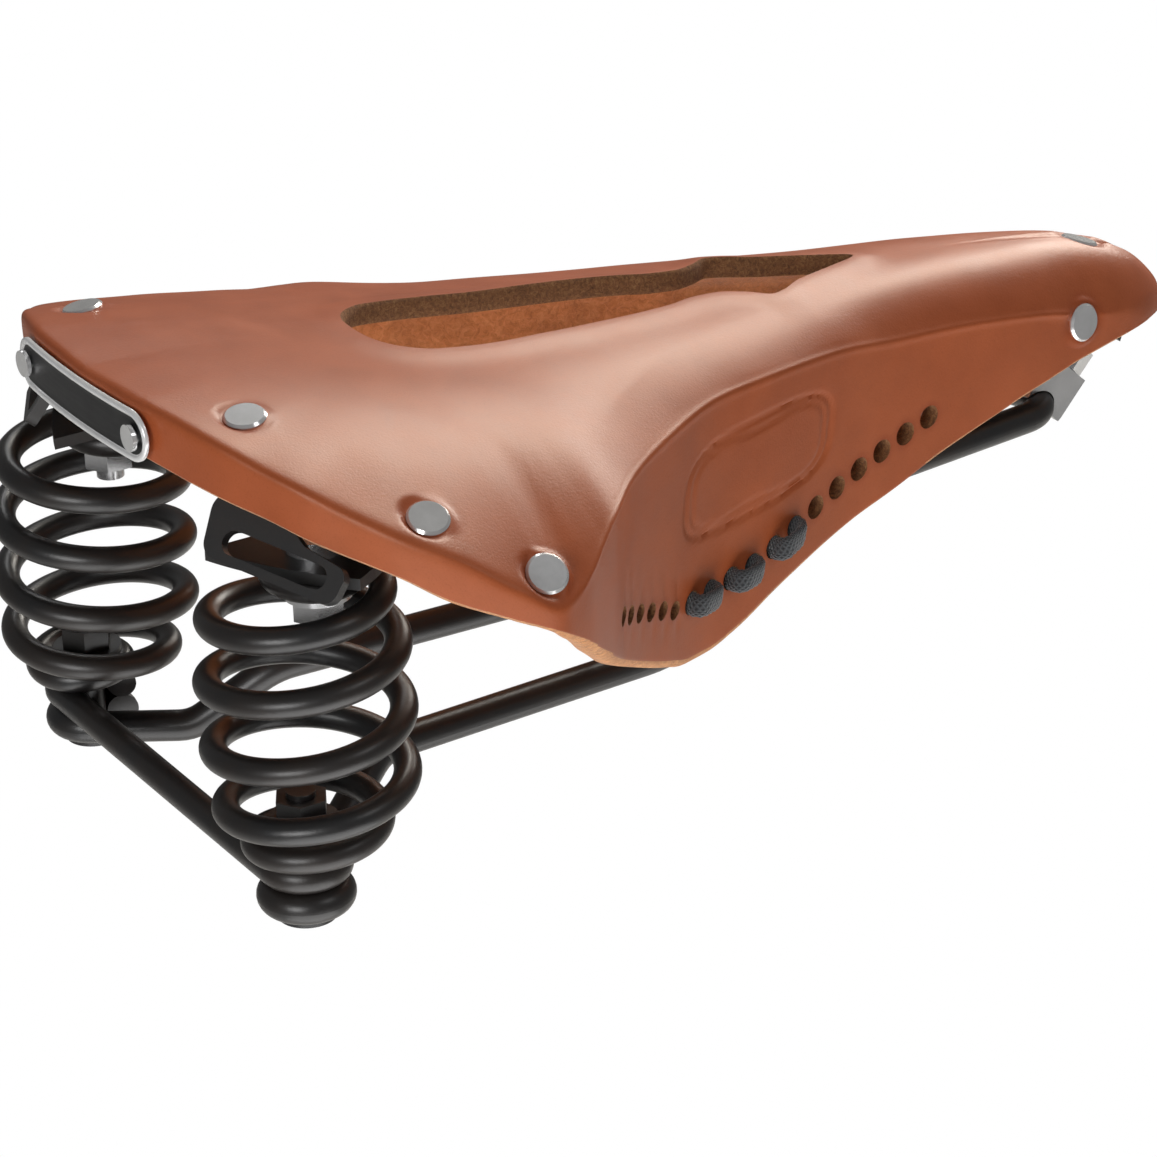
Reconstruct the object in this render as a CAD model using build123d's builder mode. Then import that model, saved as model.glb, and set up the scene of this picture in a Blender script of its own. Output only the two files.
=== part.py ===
from build123d import *

import math
import os

# Sprung leather bicycle saddle, in millimetres.
# Frame: origin halfway between the two rails, in the middle of their straight clamp section.
# +X points to the nose, +Y to the rider's left, +Z up.

os.makedirs("parts", exist_ok=True)

# Rails
rail_wire_d = 7.0
rail_half_gap = 22.0
toe_in = 0.04
clamp_rear_x = -40.5
clamp_front_x = 36.0
rail_nose_z = 26.4
apex_x, apex_z = 149.3, 26.0
nose_bend_radius = 10.4

# Spring bases
eye_x, eye_y, eye_z = -73.2, 49.0, -12.5
eye_radius = 6.8
brace_wire_d = 6.5
stack_gap = 0.05

# Springs
spring_wire_d = 5.8
spring_low_z, spring_high_z = 0.5, 56.0
spring_body_x = -70.0
spring_top_x, spring_top_y = -65.4, 46.6

# Leather
leather_t = 4.5
tail_x = -92.0
tip_x = 186.0
wing_half = 87.4
wing_x = -33.0

# Tension gear
bolt_d = 8.0
bolt_tilt = 48.0
nut_flats = 13.0
nut_t = 6.0
tension_travel = 3.0

# Rivets
rivet_head_d = 8.8
rivet_head_t = 1.3
rivet_shank_d = 4.0
rivet_sink = 0.9

clear = 0.3


def mirror_y(solid):
    """The same solid on the other side of the saddle."""
    return mirror(solid, about=Plane.XZ)


def corner_radii(points):
    """Largest tangent arc at each corner: 0.45 of the shorter run over tan(half the turn)."""
    radii = []
    for a, b, c in zip(points, points[1:], points[2:]):
        first, second = Vector(*b) - Vector(*a), Vector(*c) - Vector(*b)
        half_turn = math.radians(first.get_angle(second) / 2)
        radii.append(0.45 * min(first.length, second.length) / math.tan(half_turn))
    return radii


def blend_value(x, table):
    """Height or width at x, read between the named stations."""
    for (x0, v0), (x1, v1) in zip(table, table[1:]):
        if x <= x1:
            s = (x - x0) / (x1 - x0)
            return v0 + (v1 - v0) * max(s, 0.0)
    return table[-1][1]


# Shape of the leather: plan half width, height of the middle line, height of the side crease
outline = [(-92, 0), (-90.6, 26), (-84, 45), (-74.5, 60.6), (-63, 73), (-52, 81), (-42, 86),
           (-33, 87.4), (-24.5, 83), (-12, 73), (5, 57.5), (17, 50), (33, 42), (50, 37), (73, 30),
           (103, 24.3), (137, 20.7), (156, 18), (166, 15.6), (174, 12.2), (180, 8.2), (184.3, 4.2),
           (186, 0)]
width_line = [(-92, 87.4), (-33, 87.4), (-24.5, 83), (-12, 73), (5, 57.5), (17, 50), (33, 42),
              (50, 37), (73, 30), (103, 24.3), (137, 20.7), (156, 18), (170, 14), (186, 7)]
middle_line = [(-92, 91), (-74, 91), (-60, 89.2), (-29, 84), (0, 80.5), (40, 77), (70, 74.4),
               (98, 72), (120, 70), (145, 66.3), (163, 62), (175, 57), (186, 47)]
crease_line = [(-92, 62.5), (-60, 61), (-33, 55.5), (-23, 58.5), (-12, 64), (5, 65.8), (17, 66.7),
               (33, 67.6), (50, 67), (73, 65), (92, 62), (113, 59.7), (137, 56), (156, 50.5),
               (170, 47.5), (186, 41)]
stations = [-97, -75, -54, -33, -18, -5, 8, 22, 40, 62, 90, 115, 138, 157, 173, 191]


def crown_height(x, share):
    """Height of the top surface at a share (0 to 1) of the half width."""
    top = blend_value(x, middle_line)
    side = blend_value(x, crease_line)
    power = 2.9 if x < 20 else 2.4
    return top - (top - side) * abs(share) ** power


def top_block(drop, inset):
    """Solid under the top surface, lowered by drop and narrowed by inset."""
    with BuildPart() as block:
        for x in stations:
            half = blend_value(x, width_line) + 2.0 - inset
            row = [(half * s, crown_height(x, s) - drop)
                   for s in (-1, -0.85, -0.65, -0.4, 0, 0.4, 0.65, 0.85, 1)]
            with BuildSketch(Plane.YZ.offset(x)):
                with BuildLine():
                    Spline(*row)
                    Polyline(row[-1], (half, -10), (-half, -10), row[0])
                make_face()
        loft(ruled=True)
    return block.part


def inset_outline(inset):
    """Left half of the outline, each point moved straight inwards."""
    points = []
    for before, here, after in zip(outline, outline[1:], outline[2:]):
        along = Vector(after[0] - before[0], after[1] - before[1], 0).normalized()
        if here[1] - along.X * inset > 1.0:
            points.append((here[0] + along.Y * inset, here[1] - along.X * inset))
    return [(tail_x + inset, 0)] + points + [(tip_x - inset, 0)]


def plan_block(inset):
    """Tall prism on the plan outline, moved in by inset."""
    with BuildPart() as block:
        with BuildSketch():
            with BuildLine():
                left = Spline(*inset_outline(inset), tangents=[(0, 1), (0, -1)])
                mirror(left, about=Plane.XZ)
            make_face()
        extrude(amount=120)
    return block.part


def pocket_block(drop, inset):
    """Everything inside the leather at a depth below its outer surface."""
    return top_block(drop, inset) & plan_block(inset)


lower_edge = [(-98, 78), (-86, 76.6), (-70, 67.6), (-54, 58.6), (-35, 49.5), (-23, 41.5), (-11, 31.5),
              (6, 18.6), (19, 11.2), (28, 8.2), (38, 8.6), (54, 13.6), (81, 21.5), (106, 28.8),
              (134, 36), (153, 40), (190, 43)]
opening_half = [(-29, 0), (-22, 12.2), (-10, 16), (3, 16.2), (26, 13.2), (42, 9.6),
                (52, 8), (59, 9.4), (67.5, 13.4), (76, 9.4), (86, 4.6), (98.5, 0)]
lace_d = 3.0
lace_hole_count = 18
lace_hole_d = 6.0
lace_hole_pitch = 7.2
first_hole_x = 102.6
rear_hole_d = 4.6
rear_hole_pitch = 5.6
rear_hole_z = [24.7, 27.1, 29.3, 31.6, 33.9, 36.4]


def side_point(x):
    """Point of the outline at x on the left, with its outward direction."""
    y = blend_value(x, width_line)
    slope = (blend_value(x + 2, width_line) - blend_value(x - 2, width_line)) / 4
    out = Vector(-slope, 1, 0).normalized()
    return Vector(x, y, 0), out


def lace_holes():
    """Centre and outward direction of each hole in the left skirt, from front to rear."""
    holes = []
    x = first_hole_x
    first_rear = lace_hole_count - len(rear_hole_z)
    for k in range(lace_hole_count):
        base, out = side_point(x)
        if k < 8:
            z = 40.2 - 1.95 * k - 0.02 * k * k
        elif k < first_rear:
            z = 23.8 - 0.75 * (k - 8) + 0.2 * (k - 8) ** 2
        else:
            z = rear_hole_z[k - first_rear]
        holes.append((Vector(base.X, base.Y, z), out))
        pitch = lace_hole_pitch if k < first_rear else rear_hole_pitch
        x -= pitch * out.Y
    return holes


skirt_holes = lace_holes()

# Rivet seats on the left: point on the leather and the outward direction
rear_seats = {
    "inner_rivets": (Vector(-73.8, 36.1, 88.4), Vector(-0.12, 0.16, 1)),
    "middle_rivets": (Vector(-52.7, 70.0, 73.4), Vector(-0.1, 0.5, 1)),
    "corner_rivets": (Vector(-33.6, 82.3, 61.0), Vector(-0.15, 0.95, 0.95)),
}
nose_side_seat = (Vector(150.0, 18.7, 50.2), Vector(0.16, 1, 0.12))
nose_top_seat = (Vector(163.0, 0, 61.8), Vector(0.34, 0, 1))
badge_rivet_y = 23.9
badge_z = 84.3
badge_x = -92.4


def rivet(seat, shank_length):
    """Flat rivet with a bevelled head, sunk a little into the leather."""
    point, out = seat
    with BuildPart(Plane(origin=point, z_dir=out).offset(-rivet_sink)) as one:
        Cylinder(rivet_head_d / 2, rivet_head_t, align=(Align.CENTER, Align.CENTER, Align.MIN))
        chamfer(one.faces().sort_by(lambda f: f.center().dot(out.normalized()))[-1].edges(), 0.5)
        with Locations((0, 0, -shank_length)):
            Cylinder(rivet_shank_d / 2, shank_length, align=(Align.CENTER, Align.CENTER, Align.MIN))
    return one.part


def rivet_room(seat, below, slack=0.0):
    """Room that a rivet needs in the sheets it goes through."""
    point, out = seat
    with BuildPart(Plane(origin=point, z_dir=out).offset(-rivet_sink)) as room:
        Cylinder(rivet_head_d / 2 + 0.3 + slack, 12, align=(Align.CENTER, Align.CENTER, Align.MIN))
        with Locations((0, 0, -below)):
            Cylinder(rivet_shank_d / 2 + slack, below, align=(Align.CENTER, Align.CENTER, Align.MIN))
    return room.part



def on_both_sides(point, out):
    """The left seat and its mirror image on the right."""
    return [(point, out), (Vector(point.X, -point.Y, point.Z), Vector(out.X, -out.Y, out.Z))]


tension_axis = Vector(math.cos(math.radians(bolt_tilt)), 0, math.sin(math.radians(bolt_tilt)))
apex = Vector(apex_x, 0, apex_z)

# Leather top -------------------------------------------------------------------------------
with BuildPart() as skirt_trim:
    with BuildSketch(Plane.XZ.offset(-130)):
        with BuildLine():
            Spline(*lower_edge)
            Polyline(lower_edge[-1], (200, -20), (-105, -20), lower_edge[0])
        make_face()
    extrude(amount=260)

with BuildPart() as top_opening:
    with BuildSketch(Plane.XY.offset(40)):
        with BuildLine():
            Spline(*opening_half, tangents=[(0, 1), (1, -0.5)])
            Line((98.5, 0), (-29, 0))
        make_face()
        mirror(about=Plane.XZ)
    extrude(amount=80)

with BuildPart() as hole_tools:
    for k, (point, out) in enumerate(skirt_holes):
        hole_d = rear_hole_d if k >= lace_hole_count - len(rear_hole_z) else lace_hole_d
        for seat, way in on_both_sides(point, out):
            with BuildSketch(Plane(origin=seat - way * 9, z_dir=way)):
                Circle(hole_d / 2)
            extrude(amount=16)

with BuildPart() as seat_tools:
    for point, out in rear_seats.values():
        for seat in on_both_sides(point, out):
            add(rivet_room(seat, 12, 0.05))
    for part_way in (0.0, 0.25, 0.5, 0.75, 1.0):
        shift = tension_axis * (tension_travel * part_way)
        for point, out in on_both_sides(*nose_side_seat) + [nose_top_seat]:
            add(rivet_room((point + shift, out), 12, 0.6))
    for side in (-1, 1):
        with Locations(Location((badge_x, side * badge_rivet_y, badge_z), (0, 90, 0))):
            Cylinder(1.6, 20)

leather_core = top_block(0, 0) & plan_block(0)
with BuildPart() as leather_top:
    add(leather_core)
    add(pocket_block(leather_t, leather_t), mode=Mode.SUBTRACT)
    add(skirt_trim.part, mode=Mode.SUBTRACT)
    add(top_opening.part, mode=Mode.SUBTRACT)
    add(seat_tools.part, mode=Mode.SUBTRACT)
    add(hole_tools.part, mode=Mode.SUBTRACT)
leather_top.part.label = "leather_top"
export_step(leather_top.part, "parts/leather_top.step")

# Cantle plate: pressed steel under the rear of the leather, with a shelf for each spring ---
cantle_t = 2.0
cantle_gap = 0.2
shelf_low, shelf_t = 58.95, 2.5
loop_t = 2.6
loop_along = Vector(0.534, 0.845, 0)
loop_up = Vector(0.471, -0.297, 0.831)
loop_plane = Plane(origin=(-87, 45.9, 60), x_dir=loop_along, z_dir=loop_along.cross(loop_up))

with BuildPart() as cantle_zone:
    with BuildSketch():
        with BuildLine():
            Polyline((-100, -95), (-26, -95), (-26, -64), (-46, -44), (-54, -24), (-57, 0),
                     (-54, 24), (-46, 44), (-26, 64), (-26, 95), (-100, 95), (-100, -95))
        make_face()
    extrude(amount=120)

with BuildPart() as cantle_trim:
    with BuildSketch(Plane.XZ.offset(-130)):
        with BuildLine():
            Polyline((-105, 82), (-86, 80), (-70, 72), (-54, 63), (-38, 55), (-20, 45), (-20, 0),
                     (-105, 0), (-105, 82))
        make_face()
    extrude(amount=260)

under_leather = pocket_block(leather_t + cantle_gap, leather_t + cantle_gap)
under_cantle = pocket_block(leather_t + cantle_gap + cantle_t, leather_t + cantle_gap + cantle_t)

with BuildPart() as shelf:
    with BuildSketch(Plane.XY.offset(shelf_low)):
        with BuildLine():
            Polyline((-88, 34), (-53, 34), (-53, 56), (-60, 61), (-68, 66), (-88, 66), (-88, 34))
        make_face()
    extrude(amount=shelf_t)
    with BuildSketch(Plane.XZ.offset(-50)):
        with BuildLine():
            Polyline((-56, shelf_low), (-53, shelf_low), (-53, 90), (-55.5, 90), (-56, shelf_low))
        make_face()
    extrude(amount=14)
    with BuildSketch(loop_plane.offset(-60)):
        Rectangle(240, 240)
    extrude(amount=60 + loop_t, mode=Mode.SUBTRACT)
    with Locations((spring_top_x, spring_top_y, shelf_low - 1)):
        Cylinder(3.2, 8, mode=Mode.SUBTRACT)
    add(under_leather, mode=Mode.INTERSECT)

with BuildPart() as cantle_plate:
    add(under_leather)
    add(under_cantle, mode=Mode.SUBTRACT)
    add(cantle_zone.part, mode=Mode.INTERSECT)
    add(cantle_trim.part, mode=Mode.SUBTRACT)
    add(shelf.part)
    add(mirror_y(shelf.part))
    for point, out in rear_seats.values():
        for seat in on_both_sides(point, out):
            add(rivet_room(seat, 9), mode=Mode.SUBTRACT)
    for side in (-1, 1):
        with Locations(Location((badge_x, side * badge_rivet_y, badge_z), (0, 90, 0))):
            Cylinder(1.5, 20, mode=Mode.SUBTRACT)

# Bag loops: flat plates that lean outwards, with a long slot ---------------------------------
with BuildPart() as bag_loop_left:
    with BuildSketch(loop_plane) as loop_profile:
        with BuildLine():
            FilletPolyline((-5, 18), (-5, 4.6), (25.5, -1.2), (27.4, 6.2), (17, 9.6), (11, 14.5),
                           (10, 18), (-5, 18), radius=[4.5, 3.6, 3.0, 2.5, 2.5, 1.5, 1.5], close=False)
        make_face()
        with Locations(Location((11.1, 6.0, 0), (0, 0, -10.8))):
            SlotOverall(24.5, 5.0, mode=Mode.SUBTRACT)
    extrude(amount=loop_t)
    add(cantle_plate.part, mode=Mode.SUBTRACT)
    add(leather_top.part, mode=Mode.SUBTRACT)

with BuildPart() as bag_loop_right:
    add(mirror_y(bag_loop_left.part))

# Badge plate without any lettering, and its two rivets --------------------------------------
with BuildPart() as badge_plate:
    with BuildSketch(Plane.XY.offset(badge_z - 5.5)):
        with BuildLine():
            ThreePointArc((-90.9, -28.5), (-92.5, 0), (-90.9, 28.5))
            Line((-90.9, 28.5), (-92.1, 28.5))
            ThreePointArc((-92.1, 28.5), (-93.7, 0), (-92.1, -28.5))
            Line((-92.1, -28.5), (-90.9, -28.5))
        make_face()
    extrude(amount=11)
    with BuildSketch(Plane.YZ.offset(-96)):
        with Locations((0, badge_z)):
            SlotOverall(57, 11)
    extrude(amount=12, mode=Mode.INTERSECT)
    for side in (-1, 1):
        with Locations(Location((badge_x, side * badge_rivet_y, badge_z), (0, 90, 0))):
            Cylinder(1.5, 20, mode=Mode.SUBTRACT)

with BuildPart() as badge_rivets:
    for side in (-1, 1):
        with Locations(Location((-92.9, side * badge_rivet_y, badge_z), (0, -90, 0))):
            Cylinder(2.8, 0.9, align=(Align.CENTER, Align.CENTER, Align.MIN))
        with Locations(Location((-92.9, side * badge_rivet_y, badge_z), (0, 90, 0))):
            Cylinder(1.5, 8.4, align=(Align.CENTER, Align.CENTER, Align.MIN))

# Copper-style flat rivets along the rear ------------------------------------------------------
rear_rivets = {}
for name, (point, out) in rear_seats.items():
    with BuildPart() as rear_rivets[name]:
        for seat in on_both_sides(point, out):
            add(rivet(seat, 7.4))

# Nose plate under the leather, with its rivets and the tension bolt --------------------------
axis_plane = Plane(origin=apex, x_dir=(0, 1, 0), z_dir=tension_axis)
boss_start = 22.0
with BuildPart() as nose_plate:
    add(pocket_block(leather_t + 3.5, leather_t + 1.5))
    add(pocket_block(leather_t + 5.7, leather_t + 3.6), mode=Mode.SUBTRACT)
    with Locations((157.5, 0, 74)):
        Box(29, 60, 60, mode=Mode.INTERSECT)
    with BuildSketch(axis_plane.offset(boss_start)):
        Rectangle(19, 14)
    extrude(amount=3)
    add(pocket_block(leather_t + 3.5, leather_t + 1.5), mode=Mode.INTERSECT)
    with BuildSketch(axis_plane):
        Circle(bolt_d / 2)
    extrude(amount=60, mode=Mode.SUBTRACT)
    for seat in on_both_sides(*nose_side_seat) + [nose_top_seat]:
        add(rivet_room(seat, 12), mode=Mode.SUBTRACT)

with BuildPart() as nose_side_rivets:
    for seat in on_both_sides(*nose_side_seat):
        add(rivet(seat, 7.2))

with BuildPart() as nose_top_rivet:
    add(rivet(nose_top_seat, 10.0))

with BuildPart() as tension_bolt:
    with BuildSketch(axis_plane.offset(5.0)):
        Circle(bolt_d / 2)
    extrude(amount=boss_start - 5.0 + 5.5)
    chamfer(tension_bolt.edges().filter_by(GeomType.CIRCLE), 0.6)

# Shackle that holds the rail loop, and the adjusting nut in front of it -----------------------
shackle_reach = 10.0
shackle_half = 6.2
with BuildPart() as nose_shackle:
    with BuildSketch(Plane(origin=apex + Vector(0, 6.5, 0), x_dir=tension_axis, z_dir=(0, -1, 0))):
        Circle(shackle_half)
        with Locations((shackle_reach / 2, 0)):
            Rectangle(shackle_reach, 2 * shackle_half)
        with Locations((-7, 0)):
            Rectangle(11, 20, mode=Mode.SUBTRACT)
    extrude(amount=13)
    with Locations((apex_x - nose_bend_radius, 0, apex_z)):
        Torus(nose_bend_radius, rail_wire_d / 2 + clear, mode=Mode.SUBTRACT)
    with BuildSketch(axis_plane):
        Circle(bolt_d / 2 + clear)
    extrude(amount=30, mode=Mode.SUBTRACT)

with BuildPart() as tension_nut:
    with BuildSketch(axis_plane.offset(shackle_reach + 0.15)):
        RegularPolygon(nut_flats / math.sqrt(3), 6)
        Circle(bolt_d / 2 + 0.2, mode=Mode.SUBTRACT)
    extrude(amount=nut_t)
    nut_rims = tension_nut.edges().filter_by(GeomType.CIRCLE)
    chamfer(nut_rims, 0.3)

# Rails: one bent wire, from the left eye round the nose to the right eye ----------------------
tangent_turn = math.atan2(31 - eye_y, -57.5 - eye_x)
reach = math.hypot(-57.5 - eye_x, 31 - eye_y)
touch = tangent_turn - math.acos(eye_radius / reach)
ring_sweep = 255


def rail_half():
    """Left half of the rail wire, up to the middle of the nose loop."""
    start = (eye_x + eye_radius * math.cos(touch), eye_y + eye_radius * math.sin(touch), eye_z)
    route = [start, (-57.5, 31, eye_z), (clamp_rear_x, rail_half_gap + 1.6, 0),
             (clamp_front_x, rail_half_gap - 1.5, 0), (82, 17.4, rail_nose_z),
             (apex_x, 9.3, apex_z), (apex_x, 0, apex_z)]
    with BuildPart() as half:
        with BuildLine() as path:
            FilletPolyline(*route, radius=[10, 12, 30, 30, nose_bend_radius])
        with BuildSketch(Plane(origin=path.line @ 0, z_dir=path.line % 0)):
            Circle(rail_wire_d / 2)
        sweep(path=path.line)
        with BuildLine() as ring:
            CenterArc((eye_x, eye_y, eye_z), eye_radius, math.degrees(touch), -ring_sweep)
        with BuildSketch(Plane(origin=ring.line @ 0, z_dir=ring.line % 0)):
            Circle(rail_wire_d / 2)
        sweep(path=ring.line)
    return half.part


left_rail = rail_half()
with BuildPart() as rail_wire:
    add(left_rail)
    add(mirror_y(left_rail))

# Cross brace between the spring bases ----------------------------------------------------------
brace_z = eye_z + rail_wire_d / 2 + brace_wire_d / 2 + stack_gap
with BuildPart() as cross_brace:
    with BuildLine() as brace_line:
        CenterArc((eye_x, eye_y, brace_z), eye_radius, 180, -205)
        Line((eye_x - eye_radius, eye_y, brace_z), (eye_x - eye_radius, -eye_y, brace_z))
        CenterArc((eye_x, -eye_y, brace_z), eye_radius, 180, 205)
    brace_end = brace_line.line
    with BuildSketch(Plane(origin=brace_end @ 0, z_dir=brace_end % 0)):
        Circle(brace_wire_d / 2)
    sweep(path=brace_end)

# Springs: barrel coils with small flat end coils -----------------------------------------------
coil_radius = [(-1, 7.4), (-0.6, 7.4), (-0.2, 10.3), (0, 12), (0.25, 14.5), (0.5, 16.5), (0.75, 18),
               (1.25, 19.3), (2.5, 19.5), (3.4, 19.2), (3.8, 18), (4.2, 16), (4.6, 10.5),
               (4.9, 7.4), (5.8, 7.4)]
coil_height = [(-1, 0.5), (-0.25, 0.5), (0, 1.2), (0.5, 5), (1, 10.6), (1.5, 17.2), (2, 24.2),
               (3, 38.7), (3.5, 45.4), (4, 51.3), (4.4, 54.6), (4.7, 55.8), (5, 56), (5.8, 56)]
coil_x = [(-1, eye_x), (-0.3, eye_x), (0.75, spring_body_x), (3.9, spring_body_x),
          (4.8, spring_top_x), (5.8, spring_top_x)]
coil_y = [(-1, eye_y), (-0.3, eye_y), (4.8, spring_top_y), (5.8, spring_top_y)]
coil_start = 244.0
steps_per_turn = 8


def spring_coil(side):
    """One spring; side 1 is the left one, wound the other way from the right one."""
    points = []
    for k in range(-8, 46):
        turn = k / steps_per_turn
        angle = math.radians(coil_start + 360 * turn)
        radius = blend_value(turn, coil_radius) / math.cos(math.pi / steps_per_turn) ** 0.5
        points.append((blend_value(turn, coil_x) + radius * math.cos(angle),
                       side * (blend_value(turn, coil_y) - radius * math.sin(angle)),
                       blend_value(turn, coil_height)))
    with BuildPart() as coil:
        with BuildLine() as wire:
            FilletPolyline(*points, radius=corner_radii(points))
        with BuildSketch(Plane(origin=wire.line @ 0, z_dir=wire.line % 0)):
            Circle(spring_wire_d / 2)
        sweep(path=wire.line)
    return coil.part


with BuildPart() as spring_right:
    add(spring_coil(-1))
with BuildPart() as spring_left:
    add(spring_coil(1))


# Bolts, nuts and washers -------------------------------------------------------------------------
def hex_prism(x, y, z, flats, height, bore):
    """Hexagon nut standing at a height."""
    with BuildPart() as nut:
        with BuildSketch(Plane.XY.offset(z)):
            with Locations((x, y)):
                RegularPolygon(flats / math.sqrt(3), 6)
                Circle(bore / 2, mode=Mode.SUBTRACT)
        extrude(amount=height)
    return nut.part


def washer(x, y, z, outer, bore, height):
    """Flat washer standing at a height."""
    with BuildPart() as ring:
        with BuildSketch(Plane.XY.offset(z)):
            with Locations((x, y)):
                Circle(outer / 2)
                Circle(bore / 2, mode=Mode.SUBTRACT)
        extrude(amount=height)
    return ring.part


def post(x, y, low, high, head_low, head_high, head_r):
    """Bolt with a round head and a plain shank."""
    with BuildPart() as bolt:
        with BuildSketch(Plane.XY.offset(low)):
            with Locations((x, y)):
                Circle(3)
        extrude(amount=high - low)
        with BuildSketch(Plane.XY.offset(head_low)):
            with Locations((x, y)):
                Circle(head_r)
        extrude(amount=head_high - head_low)
    return bolt.part


sides = (-1, 1)
eye_low = eye_z - rail_wire_d / 2 - stack_gap
coil_top = coil_height[0][1] + spring_wire_d / 2 + stack_gap
with BuildPart() as lower_bolts:
    for side in sides:
        add(post(eye_x, side * eye_y, eye_low, coil_top + 7.5, eye_low - 1.6, eye_low, 6.2))
with BuildPart() as lower_washers:
    for side in sides:
        add(washer(eye_x, side * eye_y, coil_top, 15, 6.2, 1.2))
with BuildPart() as lower_nuts:
    for side in sides:
        add(hex_prism(eye_x, side * eye_y, coil_top + 1.25, 10, 5, 6.2))

coil_under = coil_height[-1][1] - spring_wire_d / 2 - stack_gap
shelf_high = shelf_low + shelf_t + stack_gap
with BuildPart() as upper_bolts:
    for side in sides:
        add(post(spring_top_x, side * spring_top_y, coil_under - 9, shelf_high + 1, shelf_high,
                 shelf_high + 3.5, 6))
with BuildPart() as upper_washers:
    for side in sides:
        add(washer(spring_top_x, side * spring_top_y, coil_under - 1.5, 14, 6.2, 1.5))
with BuildPart() as upper_nuts:
    for side in sides:
        add(hex_prism(spring_top_x, side * spring_top_y, coil_under - 6.15, 10, 4.6, 6.2))


# Lace through six holes of each skirt --------------------------------------------------------------
def lace_point(k, side, depth):
    """Point on the axis of hole k, depth outside (+) or inside (-) the skirt."""
    point, out = skirt_holes[k]
    place = point + out * depth
    return (place.X, side * place.Y, place.Z)


def crossing_point(k, side):
    """Outside end of a straight run from skirt to skirt through the holes k."""
    point, out = skirt_holes[k]
    return (point.X - 2.2 * out.X, side * (point.Y + 2.6), point.Z)


def over_crossing(k, side):
    """Point just inside the skirt and above the crossing run at hole k."""
    point, out = skirt_holes[k]
    place = point - out * 8.0
    return (place.X, side * place.Y, place.Z + 5.6)


outside, inside = 2.5, -7.6
lace_route = [lace_point(6, -1, inside), lace_point(6, -1, outside), crossing_point(7, -1),
              crossing_point(7, 1), lace_point(6, 1, outside), lace_point(6, 1, inside),
              over_crossing(7, 1), lace_point(8, 1, inside), lace_point(8, 1, outside),
              crossing_point(9, 1), crossing_point(9, -1), lace_point(8, -1, outside),
              lace_point(8, -1, inside), over_crossing(9, -1), lace_point(10, -1, inside),
              lace_point(10, -1, outside), crossing_point(11, -1), crossing_point(11, 1),
              lace_point(10, 1, outside), lace_point(10, 1, inside)]
lace_radii = corner_radii(lace_route)
with BuildPart() as skirt_lace:
    with BuildLine() as lace_line:
        FilletPolyline(*lace_route, radius=lace_radii)
    with BuildSketch(Plane(origin=lace_line.line @ 0, z_dir=lace_line.line % 0)):
        Circle(lace_d / 2)
    sweep(path=lace_line.line)
    with Locations(lace_route[0], lace_route[-1]):
        Sphere(2.9)
print("springs", spring_left.part.volume, spring_right.part.volume)
print("lace radii", [round(r, 1) for r in lace_radii])
print("lace length", lace_line.wire().length, skirt_lace.part.volume,
      lace_line.wire().length * math.pi * lace_d ** 2 / 4)

pieces = {
    "leather_top": leather_top, "cantle_plate": cantle_plate, "bag_loop_left": bag_loop_left,
    "bag_loop_right": bag_loop_right, "badge_plate": badge_plate, "badge_rivets": badge_rivets,
    "nose_plate": nose_plate, "nose_side_rivets": nose_side_rivets,
    "nose_top_rivet": nose_top_rivet, "tension_bolt": tension_bolt, "nose_shackle": nose_shackle,
    "tension_nut": tension_nut, "rail_wire": rail_wire, "cross_brace": cross_brace,
    "spring_right": spring_right, "spring_left": spring_left, "lower_bolts": lower_bolts,
    "lower_washers": lower_washers, "lower_nuts": lower_nuts, "upper_bolts": upper_bolts,
    "upper_washers": upper_washers, "upper_nuts": upper_nuts, "skirt_lace": skirt_lace,
}
pieces.update(rear_rivets)
for name, piece in pieces.items():
    piece.part.label = name
    export_step(piece.part, "parts/" + name + ".step")
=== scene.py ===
import math

import bpy
import bmesh
import numpy as np
from mathutils import Matrix, Vector
from mathutils.kdtree import KDTree


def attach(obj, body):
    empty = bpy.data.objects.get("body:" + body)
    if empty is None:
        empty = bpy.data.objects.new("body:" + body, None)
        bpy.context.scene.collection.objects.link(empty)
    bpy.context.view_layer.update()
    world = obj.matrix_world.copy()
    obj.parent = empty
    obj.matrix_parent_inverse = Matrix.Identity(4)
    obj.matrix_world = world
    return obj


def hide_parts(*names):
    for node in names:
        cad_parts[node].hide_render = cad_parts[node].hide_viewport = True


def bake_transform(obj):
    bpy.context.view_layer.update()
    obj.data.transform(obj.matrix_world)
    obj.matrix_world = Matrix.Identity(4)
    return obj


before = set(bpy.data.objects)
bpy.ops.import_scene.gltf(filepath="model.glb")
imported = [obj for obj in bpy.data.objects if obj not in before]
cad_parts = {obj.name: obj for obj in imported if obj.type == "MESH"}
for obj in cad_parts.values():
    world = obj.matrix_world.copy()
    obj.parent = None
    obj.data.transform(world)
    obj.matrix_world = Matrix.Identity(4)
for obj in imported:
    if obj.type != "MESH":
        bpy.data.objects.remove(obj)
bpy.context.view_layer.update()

MM = 0.001
scene = bpy.context.scene

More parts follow.
